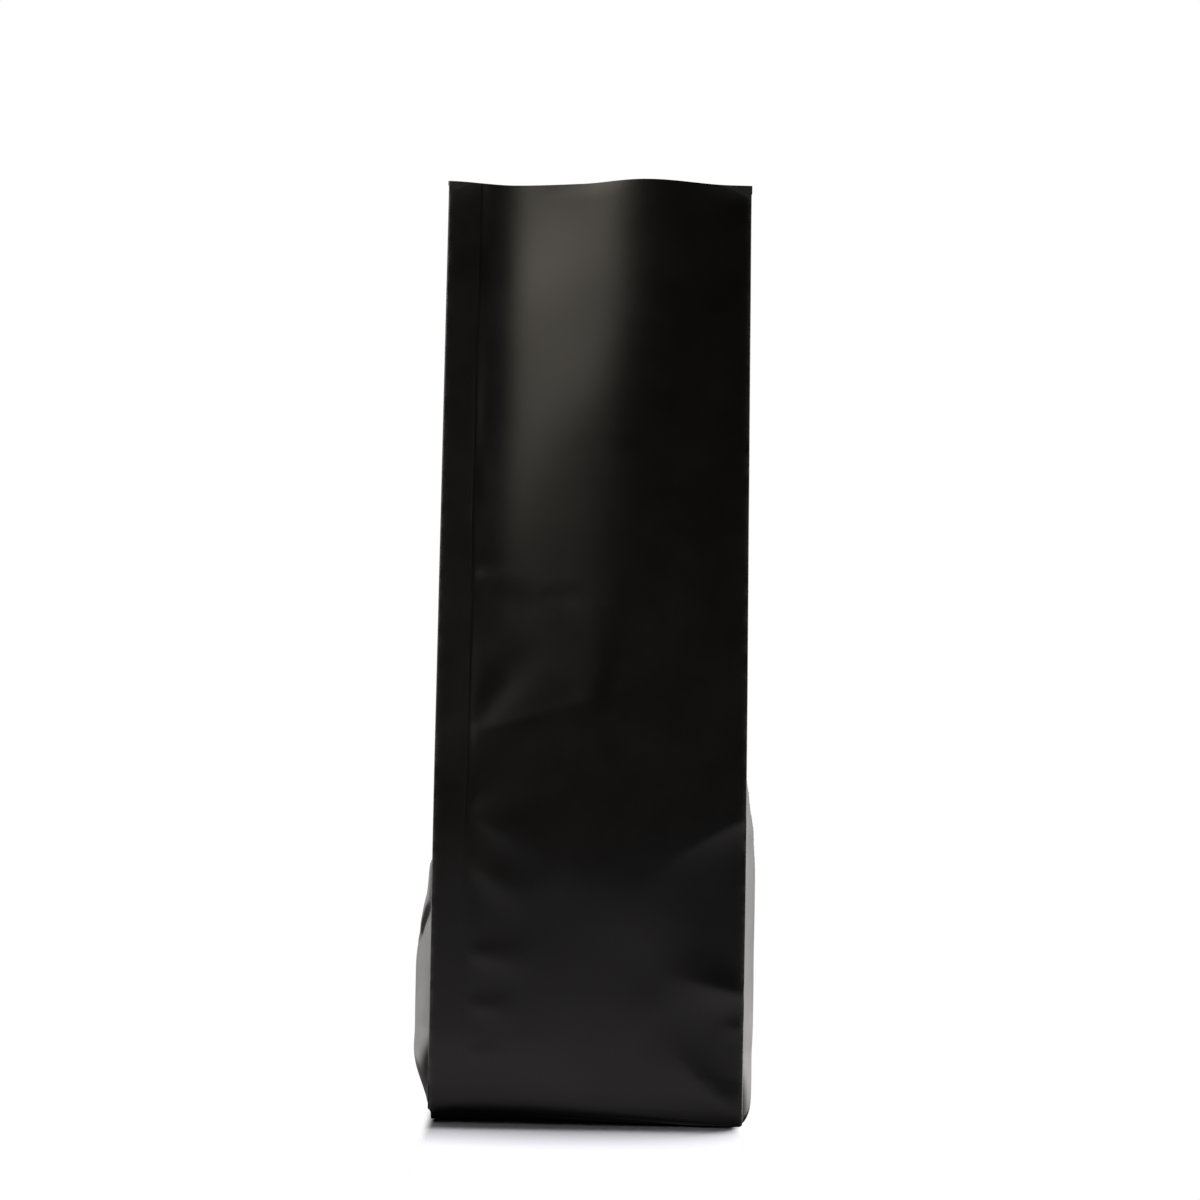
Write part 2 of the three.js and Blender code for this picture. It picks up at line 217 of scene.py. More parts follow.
def half_depth(z):
    """How far a panel stands from the bag's middle at a height, before its bows."""
    above = np.clip(z - SHOULDER + SHOULDER_BLEND, 0.0, 2.0 * SHOULDER_BLEND)
    leaned = above ** 2 / (4.0 * SHOULDER_BLEND) + np.maximum(z - SHOULDER - SHOULDER_BLEND, 0.0)
    return FULL_HALF_DEPTH - LEAN * leaned / (HEIGHT - SHOULDER)


def half_width(z):
    return PANEL_WIDTH / 2 - mix(CREASE_DRAW_LOW, CREASE_DRAW_TOP, z / HEIGHT)


def low_bow(s, z):
    fullness = ramp(z, *LOW_BOW_RISE) * (1.0 - ramp(z, *LOW_BOW_FALL))
    return LOW_BOW * fullness * np.sin(np.pi * s)


def past_bend(s, place, softness):
    """Zero before a place and growing evenly after it, with a soft bend between."""
    return softness * np.logaddexp(0.0, (s - place) / softness)


def wave(s, z):
    climbed = np.clip((z - RIDGE_SLIDE_START) / (HEIGHT - RIDGE_SLIDE_START), 0.0, 1.0)
    ridge = mix(RIDGE_LOW_PLACE, RIDGE.place, climbed ** RIDGE_SLIDE_POWER)
    to_dip = DIP.lift / DIP.place
    to_ridge = (RIDGE.lift - DIP.lift) / (ridge - DIP.place)
    to_crease = -RIDGE.lift / (1.0 - ridge)
    at_dip = (to_ridge - to_dip) * past_bend(s, DIP.place, DIP.softness)
    at_ridge = (to_crease - to_ridge) * past_bend(s, ridge, RIDGE.softness)
    return ramp(z, *WAVE_RISE) * (to_dip * s + at_dip + at_ridge)


def corner_lean(s, z):
    return CORNER_LEAN * ramp(z, CORNER_LEAN_HEIGHT, 0.0) * ramp(s, CORNER_LEAN_SHARE, 0.0)


def front_bow(s, z):
    return low_bow(s, z) + wave(s, z) - corner_lean(s, z)


def back_bow(s, z):
    own = low_bow(s, z) + BACK_BOW * ramp(z, *BACK_BOW_RISE) * np.sin(np.pi * s)
    return mix(own, -BACK_FOLLOWS_SHARE * wave(s, z), ramp(z, *BACK_FOLLOWS))


def edge_rise(s, z):
    """How far the film is lifted near the mouth, where its cut edge rises and drops."""
    height = EDGE_RISE * hump(s, *EDGE_RISE_PLACE) - EDGE_DROP * hump(s, *EDGE_DROP_PLACE)
    return height * ramp(z, HEIGHT - EDGE_WAVE_REACH, HEIGHT)


def middle(x, z):
    """The depth halfway between the two panels."""
    s = np.clip(0.5 + x / (2.0 * half_width(z)), 0.0, 1.0)
    return (back_bow(s, z) - front_bow(s, z)) / 2.0


def fold_depth(z):
    """How far in a folded gusset's middle line lies."""
    return np.sqrt(GUSSET_HALF ** 2 - half_depth(z) ** 2)


def bulge_power(side, bulge, plain, z):
    """How sharply a gusset's front half turns at its crease, by its height and how far it stands out."""
    lower_facet = LEFT_LOWER_FACET if side is LEFT else RIGHT_LOWER_FACET
    below = lower_facet.start - z - lower_facet.tilt * plain
    power = mix(BULGE_POWER, lower_facet.power, ramp(below, 0.0, lower_facet.blend))
    if side is LEFT:
        above = z + LEFT_UPPER_FACET.tilt * plain - LEFT_UPPER_FACET.start
        short_of = 1.0 - np.clip(above / LEFT_UPPER_FACET.blend, 0.0, 1.0)
        upper = LEFT_UPPER_FACET.power * np.maximum(LEFT_UPPER_BULGE / np.maximum(bulge, LEAST_BULGE), 1.0)
        power = mix(power, np.minimum(upper, LEFT_UPPER_POWER_LIMIT), 1.0 - short_of ** 2)
    return power


def bulged(side, u, z):
    """How far the unfolded part of a gusset stands out, u running from -1 at the front to 1 at the back."""
    across = np.abs(u)
    fullness = mix(side.at_floor, 1.0, ramp(z, *side.rise))
    bulge = side.bulge * fullness * mix(1.0, side.at_top, ramp(z, *side.fall))
    plain = bulge * (1.0 - across ** BULGE_POWER)
    turned = bulge * (1.0 - across ** bulge_power(side, bulge, plain, z))
    return np.where(u < 0.0, turned, plain)


def gusset_reach(side, u, z):
    """How far a gusset stands out past its creases, or in where it is folded."""
    climbed = np.clip((z - side.fold_start) / (side.fold_end - side.fold_start), LEAST_CLIMB, 1.0)
    across = np.abs(u)
    rising = mix(bulged(side, 0.0 * u, z), -fold_depth(side.fold_end), climbed)
    valley = np.where(z < side.fold_end, rising, -fold_depth(z))
    folded = mix(valley, bulged(side, np.sign(u) * climbed, z), across / climbed)
    return np.where(across >= climbed, bulged(side, u, z), folded)


# Dents and folds in the film. Each runs from a root, in millimetres from the left crease and the floor,
# along an angle in degrees, and stands out by its lift, or in where that is negative. It fades out at its
# reach, and its two slopes have widths of their own. Its crest is rounded, soft or sharp.
ROUNDED = 2.0
SOFT = 1.4
SHARP = 1.0
FOLD_SIZES = "across height angle reach left_width right_width lift crest"
Fold = namedtuple("Fold", FOLD_SIZES, defaults=(ROUNDED,))

FRONT_FOLDS = (
    # The streak that fans out from the lap seal at the foot of the highlight
    Fold(10.5, 119.0, 52.0, 42.0, 6.0, 6.0, -0.32),
    Fold(10.5, 117.0, 16.0, 62.0, 9.0, 5.0, 0.36, SHARP),
    # The small dents beside the highlight, and the ridge along its right side
    Fold(10.5, 166.0, -20.0, 22.0, 3.5, 3.5, 0.36),
    Fold(31.0, 160.0, -10.0, 24.0, 3.5, 4.0, -0.18),
    Fold(46.5, 122.0, 81.0, 60.0, 9.0, 6.0, 0.34),
    # The slanting folds down the left side, and the ladder of small ones below them
    Fold(10.5, 94.5, -30.0, 28.0, 10.0, 4.0, 0.45),
    Fold(10.5, 80.0, -39.0, 28.0, 5.0, 4.5, 0.45),
    Fold(10.5, 51.5, -8.0, 24.0, 4.5, 4.5, 0.36),
    Fold(10.5, 36.0, -8.0, 20.0, 4.0, 4.0, 0.26),
    Fold(10.5, 21.5, -6.0, 16.0, 3.0, 3.5, 0.2),
    # The ridges under the two hollows at the right, and a small dent at the crease between them
    Fold(97.0, 39.2, 165.0, 32.0, 7.0, 7.5, 1.2, SOFT),
    Fold(97.0, 29.5, 175.0, 12.0, 3.0, 3.0, 0.25, SOFT),
    Fold(97.0, -1.5, 134.0, 44.0, 14.0, 8.0, 1.7, SOFT),
    # The crumpled right corner
    Fold(97.0, 10.8, 184.0, 12.0, 2.2, 2.2, 0.25, SOFT),
    Fold(97.0, 6.5, 172.0, 10.0, 2.0, 2.0, 0.28, SOFT),
    Fold(96.0, 1.5, 160.0, 9.0, 1.5, 1.5, 0.2, SHARP),
)

# The broad fold from the right crease: a bowed line, below which the film sinks away and slowly comes back
Hollow = namedtuple("Hollow", "across height angle reach bow width depth")
FRONT_HOLLOWS = (
    Hollow(95.0, 92.1, 214.0, 45.0, 2.5, 26.0, 2.3),
)
STIFF_SEAL_BLEND = 3.0

# A fold fades in and out along its line, with 1 as its highest, and folds and hollows widen as they go
FOLD_FADE_SCALE = 27.0 / 4.0
FOLD_SPREAD = 0.5
HOLLOW_FADE_POWER = 1.5
HOLLOW_SPREAD = 0.6


def on_line(line, across, height):
    """How far along the line of a fold or hollow a point is, as a share of it, and how far beside it."""
    turn = math.radians(line.angle)
    along = (across - line.across) * math.cos(turn) + (height - line.height) * math.sin(turn)
    beside = (height - line.height) * math.cos(turn) - (across - line.across) * math.sin(turn)
    return np.clip(along / line.reach, 0.0, 1.0), beside


def fold_relief(fold, across, height):
    share, beside = on_line(fold, across, height)
    fade = FOLD_FADE_SCALE * share * (1.0 - share) ** 2
    width = np.where(beside > 0.0, fold.left_width, fold.right_width) * (FOLD_SPREAD + share)
    return fold.lift * fade * np.exp(-(np.abs(beside) / width) ** fold.crest)


def hollow_relief(hollow, across, height):
    """A dent on the left of its line, as seen along the line."""
    share, beside = on_line(hollow, across, height)
    inside = beside + hollow.bow * 4.0 * share * (1.0 - share)
    steps = np.maximum(inside, 0.0) / (hollow.width * (HOLLOW_SPREAD + share))
    return -hollow.depth * (1.0 - share) ** HOLLOW_FADE_POWER * steps * np.exp(1.0 - steps)


def relief(folds, across, height):
    return sum(fold_relief(fold, across, height) for fold in folds)


# The folds of the faces that the photograph doesn't show, within these ranges
SEEDED_TILT = (-38.0, 38.0)
SEEDED_REACH = (18.0, 46.0)
SEEDED_WIDTH = (3.0, 8.0)
SEEDED_LIFT_SHARE = (0.4, 1.0)


def seeded_folds(seed, count, width, heights, lift):
    """Folds that run in from both creases of a panel, at random heights."""
    draw = np.random.default_rng(seed)
    folds = []
    for number in range(count):
        from_left = number % 2 == 0
        tilt = draw.uniform(*SEEDED_TILT)
        folds.append(Fold(
            across=0.0 if from_left else width,
            height=draw.uniform(*heights),
            angle=tilt if from_left else 180.0 + tilt,
            reach=draw.uniform(*SEEDED_REACH),
            left_width=draw.uniform(*SEEDED_WIDTH),
            right_width=draw.uniform(*SEEDED_WIDTH),
            lift=draw.choice((-1.0, 1.0)) * draw.uniform(*SEEDED_LIFT_SHARE) * lift,
        ))
    return folds


BACK_FOLDS = seeded_folds(seed=11, count=18, width=PANEL_WIDTH, heights=(8.0, 135.0), lift=0.6)
LEFT_FOLDS = seeded_folds(seed=5, count=12, width=GUSSET_WIDTH, heights=(10.0, 100.0), lift=0.5)
RIGHT_FOLDS = seeded_folds(seed=8, count=12, width=GUSSET_WIDTH, heights=(10.0, 120.0), lift=0.5)

# The slight unevenness of the whole film, as waves of random direction
RIPPLE_COUNT = 9
RIPPLE_LIFT = 0.035
RIPPLE_LENGTHS = (26.0, 70.0)
FRONT_RIPPLE_SEED = 2
BACK_RIPPLE_SEED = 3

# How sharply the gussets' dents fade out at the creases
GUSSET_DENT_POWER = 4


def ripple(seed, across, height):
    draw = np.random.default_rng(seed)
    total = 0.0
    for _ in range(RIPPLE_COUNT):
        turn = draw.uniform(0.0, 2.0 * np.pi)
        pace = 2.0 * np.pi / draw.uniform(*RIPPLE_LENGTHS)
        shift = draw.uniform(0.0, 2.0 * np.pi)
        total = total + np.sin(pace * (across * math.cos(turn) + height * math.sin(turn)) + shift)
    return RIPPLE_LIFT * total


# The film's surface, as points in millimetres


def sway(z, part):
    return part.share * np.sin(z / part.length + part.shift)


def beat(z, parts):
    """Two slow waves multiplied, which strengthen and weaken each other."""
    return sway(z, parts[0]) * sway(z, parts[1])


def past_seal_edge(s, z):
    """How many millimetres a point is past the lap seal's edge, which isn't quite straight."""
    edge = LAP_SEAL_WIDTH + SEAL_WANDER * sum(sway(z, part) for part in SEAL_EDGE_SWAYS)
    return s * PANEL_WIDTH - edge


def seal_step(s, z):
    on_seal = 1.0 - np.clip(past_seal_edge(s, z) / SEAL_SLOPE + 0.5, 0.0, 1.0)
    return SEAL_STEP * (1.0 + SEAL_UNEVENNESS * beat(z, SEAL_STEP_SWAYS)) * on_seal


def seal_bead(s, z):
    amount = np.clip(SEAL_BEAD_MEAN + SEAL_BEAD_SWING * beat(z, SEAL_BEAD_SWAYS), 0.0, 1.0)
    half = SEAL_BEAD_WIDTH / 2
    return SEAL_BEAD * amount * np.exp(-((past_seal_edge(s, z) + half) / half) ** 2)


def mouth_curl(s, z):
    """How far the front panel's cut edge bends back."""
    total = 0.0
    for curl in MOUTH_CURLS:
        bent = np.clip(1.0 - (HEIGHT - z) / curl.reach, 0.0, 1.0) ** 2
        total = total + curl.depth * bent * hump(s, *curl.place)
    return total


def front_surface(s, z):
    across = s * PANEL_WIDTH
    loose = ramp(across, LAP_SEAL_WIDTH, LAP_SEAL_WIDTH + STIFF_SEAL_BLEND)
    dents = relief(FRONT_FOLDS, across, z) + ripple(FRONT_RIPPLE_SEED, across, z)
    dents = dents + sum(hollow_relief(hollow, across, z) for hollow in FRONT_HOLLOWS)
    seal = seal_step(s, z) + seal_bead(s, z)
    out = front_bow(s, z) + seal + loose * dents - mouth_curl(s, z)
    x = mix(-half_width(z), half_width(z), s)
    return np.stack((x, -half_depth(z) - out, z + edge_rise(s, z)), axis=-1)


def back_surface(s, z):
    across = s * PANEL_WIDTH
    out = back_bow(s, z) + relief(BACK_FOLDS, across, z) + ripple(BACK_RIPPLE_SEED, across, z)
    x = mix(-half_width(z), half_width(z), s)
    return np.stack((x, half_depth(z) + out, z + edge_rise(s, z)), axis=-1)


def gusset_surface(side, u, z):
    """u runs from -1 at the front crease to 1 at the back one, and past both round the crease's nose."""
    core = np.clip(u, -1.0, 1.0)
    nose = np.clip(np.abs(u) - 1.0, 0.0, 1.0)
    folds = LEFT_FOLDS if side is LEFT else RIGHT_FOLDS
    dents = relief(folds, (core + 1.0) * GUSSET_HALF, z) * (1.0 - core ** GUSSET_DENT_POWER)
    reach = gusset_reach(side, core, z) + dents + 0.5 * CREASE_NOSE * np.sin(np.pi * nose)
    x = side.sign * (half_width(z) + reach)
    depth = core * (half_depth(z) - CREASE_NOSE) + np.sign(u) * nose * CREASE_NOSE
    s = np.clip(0.5 + x / (2.0 * half_width(z)), 0.0, 1.0)
    return np.stack((x, middle(x, z) + depth, z + edge_rise(s, z)), axis=-1)


def panel_shares():
    """Where the columns of a panel stand, with close ones at the creases and at the lap seal's edge."""
    close = LAP_SEAL_WIDTH + np.linspace(-SEAL_COLUMNS_REACH, SEAL_COLUMNS_REACH, SEAL_COLUMNS)
    even = np.arange(PANEL_STEP, PANEL_WIDTH - PANEL_STEP / 2, PANEL_STEP)
    even = even[np.abs(even - LAP_SEAL_WIDTH) > SEAL_COLUMNS_CLEAR]
    ends = (0.0, CREASE_COLUMN, PANEL_WIDTH - CREASE_COLUMN, PANEL_WIDTH)
    return np.sort(np.concatenate((even, close, ends))) / PANEL_WIDTH


def gusset_shares():
    """Where the columns of a gusset stand, with close ones at the creases and over the front facets."""
    step = 2.0 / GUSSET_COLUMNS
    even = np.linspace(-1.0, 1.0, GUSSET_COLUMNS + 1)
    facets = np.arange(-1.0 + 1.5 * step, -1.0 + FACET_REACH, step)
    close = (-NOSE_MIDDLE, -GUSSET_CREASE_SHARE, GUSSET_CREASE_SHARE, NOSE_MIDDLE)
    return np.sort(np.concatenate((even, facets, close)))


def wall_rows(surface, columns, turn):
    """All rows of one face of the bag, from the floor through the turn of its foot to the mouth."""
    angle = np.linspace(0.0, np.pi / 2, TURN_ROWS, endpoint=False)[:, None]
    power = 2.0 / TURN_ROUNDNESS
    climbed = 1.0 - np.cos(angle) ** power
    rounded = 1.0 - np.sin(angle) ** power
    stepped = 1.0 - ramp(climbed, *TUCK_STEP)
    turned = surface(columns, turn.height * climbed)
    turned[..., 0] += turn.aside * mix(rounded, stepped, turn.tuck)
    turned[..., 1] += turn.inward * rounded
    above = np.linspace(0.0, 1.0, FOOT_ROWS, endpoint=False)[:, None]
    foot = surface(columns, mix(turn.height, FOOT_TOP, above))
    count = int(round((HEIGHT - FOOT_TOP) / ROW_STEP))
    heights = np.linspace(FOOT_TOP, HEIGHT, count + 1)
    heights = np.insert(heights, -1, HEIGHT - EDGE_ROW)[:, None]
    upper = surface(columns, heights + 0.0 * columns)
    return np.concatenate((turned, foot, upper), axis=0)


def panel_wall(surface, toward_middle, left, right):
    s = panel_shares()[None, :]
    swell = np.sin(np.pi * s ** PANEL_TURN_SKEW)
    turn = Turn(
        height=mix(left.height, right.height, s) + PANEL_TURN_EXTRA.height * swell,
        aside=mix(left.aside, -right.aside, s),
        inward=toward_middle * (mix(left.inward, right.inward, s) + PANEL_TURN_EXTRA.inward * swell),
        tuck=mix(left.tuck, right.tuck, s),
    )
    return wall_rows(surface, s, turn)


def gusset_wall(side, front, back):
    u = gusset_shares()[None, :]
    core = np.clip(u, -1.0, 1.0)
    share = (core + 1.0) / 2.0
    swell = np.sqrt(np.cos(np.pi / 2 * core))
    extra = LEFT_TURN_EXTRA if side is LEFT else RIGHT_TURN_EXTRA
    turn = Turn(
        height=mix(front.height, back.height, share) + extra.height * swell,
        aside=-side.sign * (mix(front.aside, back.aside, share) + extra.aside * swell),
        inward=mix(front.inward, -back.inward, share),
        tuck=mix(front.tuck, back.tuck, share) * (1.0 - swell),
    )
    return wall_rows(lambda columns, z: gusset_surface(side, columns, z), u, turn)


def outer_wall():
    """Rows of points round the bag, anticlockwise as seen from above, from the front left crease."""
    front = panel_wall(front_surface, 1.0, FRONT_LEFT_TURN, FRONT_RIGHT_TURN)
    right = gusset_wall(RIGHT, FRONT_RIGHT_TURN, BACK_TURN)
    back = panel_wall(back_surface, -1.0, BACK_TURN, BACK_TURN)[:, ::-1]
    left = gusset_wall(LEFT, FRONT_LEFT_TURN, BACK_TURN)[:, ::-1]
    return np.concatenate((front, right, back, left), axis=1)


def wall_normals(wall):
    """The directions out of the film at each point of the wall."""
    round_bag = np.roll(wall, -1, axis=1) - np.roll(wall, 1, axis=1)
    upward = np.gradient(wall, axis=0)
    normal = np.cross(round_bag, upward)
    return normal / np.linalg.norm(normal, axis=-1, keepdims=True)


def grid_faces(index):
    """Four-sided faces between neighbouring entries of a table of point numbers."""
    corners = (index[:-1, :-1], index[:-1, 1:], index[1:, 1:], index[1:, :-1])
    return np.stack(corners, axis=-1).reshape(-1, 4)


def ring_faces(index):
    return grid_faces(np.concatenate((index, index[:, :1]), axis=1))


def bottom_rise(from_left, from_front):
    """How high the bottom's film stands off the floor, for shares of the bottom's width and depth."""
    rise = np.sin(np.pi * from_left) * np.sin(np.pi * from_front)
    return BOTTOM_RECESS * np.sqrt(np.clip(rise, 0.0, 1.0))


def bottom_points(floor_row, across, deep):
    """The grid of the bottom, hung between the four lowest edges, and the numbers of those in floor_row."""
    count = len(floor_row)
    front = np.arange(across)
    right = across - 1 + np.arange(deep)
    back = across + deep - 2 + np.arange(across)[::-1]
    left = (count - np.arange(deep)) % count
    row, column = np.meshgrid(np.arange(across), np.arange(deep), indexing="ij")
    start = floor_row[front[0]]
    from_left = (floor_row[front, 0] - start[0]) / (floor_row[front[-1], 0] - start[0])
    from_front = (floor_row[left, 1] - start[1]) / (floor_row[left[-1], 1] - start[1])
    x = mix(floor_row[left, 0][column], floor_row[right, 0][column], from_left[row])
    y = mix(floor_row[front, 1][row], floor_row[back, 1][row], from_front[column])
    points = np.stack((x, y, bottom_rise(from_left[row], from_front[column])), axis=-1)
    edges = {"front": front, "back": back, "left": left, "right": right}
    return points, edges


def bottom_index(edges, across, deep, first):
    """Numbers of the bottom's points: its edges are the wall's lowest points, and the rest are its own."""
    index = np.zeros((across, deep), int)
    index[1:-1, 1:-1] = first + np.arange((across - 2) * (deep - 2)).reshape(across - 2, deep - 2)
    index[:, 0] = edges["front"]
    index[:, -1] = edges["back"]
    index[0, :] = edges["left"]
    index[-1, :] = edges["right"]
    return index


def film_mesh():
    """The bag as one closed body, with a shallow pocket between the film's inner sides at the mouth."""
    outer = outer_wall()
    pocket_rows = int(round(POCKET_DEPTH / ROW_STEP))
    inner = (outer - FILM_THICKNESS * wall_normals(outer))[-pocket_rows:]
    columns = outer.shape[1]
    across = len(panel_shares())
    deep = len(gusset_shares()) + 2

    bottom, edges = bottom_points(outer[0], across, deep)
    parts = [part.reshape(-1, 3) for part in (outer, bottom[1:-1, 1:-1], inner)]
    starts = np.cumsum([0] + [len(part) for part in parts])
    outer_index = np.arange(outer.shape[0] * columns).reshape(-1, columns)
    inner_index = starts[2] + np.arange(inner.shape[0] * columns).reshape(-1, columns)
    floor_index = bottom_index(edges, across, deep, starts[1])
    rim = np.stack((outer_index[-1], inner_index[-1]))

    groups = (
        ring_faces(outer_index).tolist(),
        grid_faces(floor_index.T)[:, ::-1].tolist(),
        ring_faces(inner_index)[:, ::-1].tolist(),
        [inner_index[0].tolist()],
        ring_faces(rim).tolist(),
    )
    finishes = (OUTSIDE, OUTSIDE, INSIDE, INSIDE, CUT_EDGE)
    points = np.concatenate(parts) + np.array((CENTRE_SHIFT, 0.0, 0.0))
    faces = sum(groups, [])
    finish = np.concatenate([np.full(len(group), kind) for group, kind in zip(groups, finishes)])
    return points, faces, finish, film_marks(outer.shape[0], len(points))


def bottom_seal_mesh():
    """The bottom seal, a thin strip folded to the front that lies against the bottom's film."""
    long, wide = BOTTOM_SEAL_STEPS
    x = np.linspace(-0.5, 0.5, long + 1)[:, None] * BOTTOM_SEAL_LENGTH
    y = np.linspace(-1.0, 0.0, wide + 1)[None, :] * BOTTOM_SEAL_WIDTH
    x, y = np.broadcast_arrays(x, y)
    film = bottom_rise(0.5 + x / PANEL_WIDTH, 0.5 + y / (2.0 * FULL_HALF_DEPTH))
    upper = np.stack((x, y, film + BOTTOM_SEAL_BURIED), axis=-1)
    lower = np.stack((x, y, np.maximum(film - BOTTOM_SEAL_THICKNESS, BOTTOM_SEAL_BURIED)), axis=-1)
    index = np.arange(x.size).reshape(x.shape)
    rim = np.concatenate((index[:-1, 0], index[-1, :-1], index[:0:-1, -1], index[0, :0:-1]))
    sides = ring_faces(np.stack((rim + x.size, rim)))
    faces = np.concatenate((grid_faces(index.T), grid_faces(index.T)[:, ::-1] + x.size, sides))
    points = np.concatenate((upper, lower)).reshape(-1, 3) + np.array((CENTRE_SHIFT, 0.0, 0.0))
    return points, faces.tolist()


def film_marks(rows, count):
    """Whether each point is on the lap seal and how near to a crease it is, or 0 off the outer wall."""
    s = panel_shares()
    u = gusset_shares()
    # Nearness to a crease, for the worn grey and painted highlight along the creases
    panel_crease = np.exp(-np.minimum(s, 1.0 - s) * PANEL_WIDTH / CREASE_WEAR_AND_HIGHLIGHT_WIDTH)
    to_edge = np.clip(1.0 - np.abs(u), 0.0, 1.0)
    gusset_crease = np.exp(-to_edge * GUSSET_HALF / CREASE_WEAR_AND_HIGHLIGHT_WIDTH)
    plain = np.zeros(len(s))
    on_seal = np.where(s * PANEL_WIDTH < LAP_SEAL_WIDTH, 1.0, 0.0)
    seal = np.concatenate((on_seal, 0.0 * u, plain, 0.0 * u))
    crease = np.concatenate((panel_crease, gusset_crease, panel_crease[::-1], gusset_crease[::-1]))
    marks = {}
    for name, values in (("lap_seal", seal), ("crease", crease)):
        full = np.zeros(count)
        full[:rows * len(values)] = np.tile(values, rows)
        marks[name] = full
    return marks


def new_object(name, points, faces):
    mesh = bpy.data.meshes.new(name)
    mesh.from_pydata((points * MM).tolist(), [], faces)
    mesh.update()
    mesh.polygons.foreach_set("use_smooth", np.ones(len(mesh.polygons), bool))
    item = bpy.data.objects.new(name, mesh)
    bpy.context.scene.collection.objects.link(item)
    return item


# Materials

Span = namedtuple("Span", "start end low high")
NOISE_RANGE = (0.3, 0.7)
SOFT_DETAIL = 3.0
FINE_DETAIL = 4.0


class Nodes:
    """Adds nodes to a material or world and links them."""

    def __init__(self, owner):
        owner.use_nodes = True
        self.tree = owner.node_tree
        self.tree.nodes.clear()

    def add(self, kind, inputs=None, **settings):
        node = self.tree.nodes.new(kind)
        for key, value in settings.items():
            setattr(node, key, value)
        for key, value in (inputs or {}).items():
            if isinstance(value, bpy.types.NodeSocket):
                self.tree.links.new(value, node.inputs[key])
            else:
                node.inputs[key].default_value = value
        return node

    def math(self, operation, first, second=0.0):
        return self.add("ShaderNodeMath", {0: first, 1: second}, operation=operation).outputs[0]

    def noise(self, where, scale, detail=2.0, roughness=0.5):
        inputs = {"Vector": where, "Scale": scale, "Detail": detail, "Roughness": roughness}
        return self.add("ShaderNodeTexNoise", inputs).outputs["Fac"]

    def map_range(self, value, span, kind="LINEAR"):
        names = ("From Min", "From Max", "To Min", "To Max")
        inputs = {"Value": value, **dict(zip(names, span))}
        return self.add("ShaderNodeMapRange", inputs, interpolation_type=kind).outputs["Result"]

    def spread(self, noise, low, high):
        """Noise stretched from its usual range to a wanted one."""
        return self.map_range(noise, Span(*NOISE_RANGE, low, high))

    def mix_colours(self, share, first, second):
        inputs = {0: share, 6: first, 7: second}
        return self.add("ShaderNodeMix", inputs, data_type="RGBA").outputs[2]


# The film: its colours, the scales of its clouds, rubbed spots, gloss and grain in noise per metre, and the
# strength and depth in metres of its grain and of the ribs, whose pitch is in millimetres
FILM_BLACK = (0.0012, 0.0011, 0.0012, 1.0)
FILM_BLACK_LIGHT = (0.0020, 0.0018, 0.0019, 1.0)
# Light grey at the creases: partly worn film, partly a painted highlight along each crease's rounded nose
FILM_SCUFF_AND_HIGHLIGHT = (0.045, 0.045, 0.047, 1.0)
FILM_SCUFF_AND_HIGHLIGHT_SHARE = 0.7
FILM_CLOUD_SCALE = 22.0
FILM_RUB_SCALE = 260.0
FILM_GLOSS_SCALE = 48.0
FILM_GLOSS_UNEVENNESS = 0.6
FILM_ROUGHNESS = (0.29, 0.35)
FILM_IOR = 1.5
FILM_SPECULAR = 0.3
GRAIN_SCALE = 1500.0
GRAIN_BUMP = {"Strength": 0.06, "Distance": 0.0002}
KNURL_PITCH = 1.3
KNURL_BUMP = {"Strength": 0.03, "Distance": 0.0001}

# The film's inner side and its cut edge
Clouded = namedtuple("Clouded", "name dark light cloud_scale gloss_scale gloss_detail roughness")
FILM_INSIDE = Clouded(
    name="film_inside",
    dark=(0.014, 0.014, 0.015, 1.0),
    light=(0.022, 0.022, 0.023, 1.0),
    cloud_scale=30.0,
    gloss_scale=60.0,
    gloss_detail=3.0,
    roughness=(0.24, 0.34),
)
FILM_CUT_EDGE = Clouded(
    name="film_cut_edge",
    dark=(0.03, 0.03, 0.03, 1.0),
    light=(0.10, 0.10, 0.10, 1.0),
    cloud_scale=400.0,
    gloss_scale=900.0,
    gloss_detail=2.0,
    roughness=(0.4, 0.6),
)


def knurl(nodes, where):
    """The fine crossed ribs that heat-seal jaws press into the film."""
    apart = nodes.add("ShaderNodeSeparateXYZ", {"Vector": where})
    turn = 2.0 * math.pi / (KNURL_PITCH * MM)
    x = nodes.math("MULTIPLY", apart.outputs["X"], turn)
    z = nodes.math("MULTIPLY", apart.outputs["Z"], turn)
    rising = nodes.math("SINE", nodes.math("ADD", x, z))
    falling = nodes.math("SINE", nodes.math("SUBTRACT", x, z))
    return nodes.math("MULTIPLY", rising, falling)


